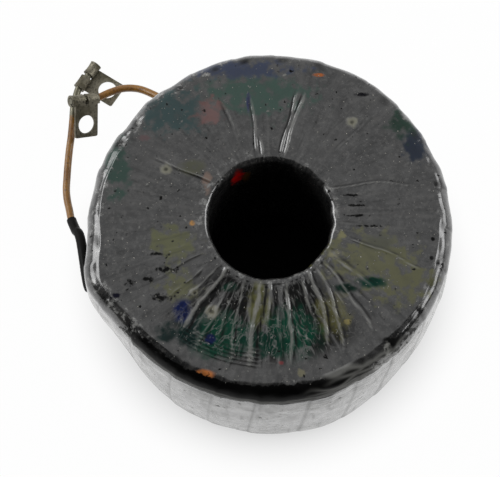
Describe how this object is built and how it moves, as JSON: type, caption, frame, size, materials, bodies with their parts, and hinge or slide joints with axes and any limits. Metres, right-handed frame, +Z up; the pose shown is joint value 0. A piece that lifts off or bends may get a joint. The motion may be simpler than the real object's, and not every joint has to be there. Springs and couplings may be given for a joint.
{
  "type": "toroidal inductor",
  "caption": "Ring-shaped power inductor wrapped in glossy black varnished tape, with an open bore and stiff enamelled wire leads that end in crimped flag terminals.",
  "frame": {"origin": "centre of the bore, on the plane that the ring stands on", "axes": "+Z up along the bore, +X to the right and +Y away from the viewer as the picture shows the ring, so the leads lie at the back left"},
  "size_m": [0.0857, 0.0894, 0.04],
  "materials": {
    "core_iron": "matte",
    "core_tape": "satin",
    "enamelled_copper": "satin",
    "varnished_tape": "gloss",
    "black_sleeve": "satin",
    "tinned_brass": "satin"
  },
  "bodies": {
    "root": {"core": "core_iron", "core_tape": "core_tape", "winding": "enamelled_copper", "outer_wrap": "varnished_tape", "start_lead": "enamelled_copper", "finish_lead": "enamelled_copper", "start_sleeve": "black_sleeve", "finish_sleeve": "black_sleeve", "start_terminal": "tinned_brass", "finish_terminal": "tinned_brass"}
  },
  "joints": []
}
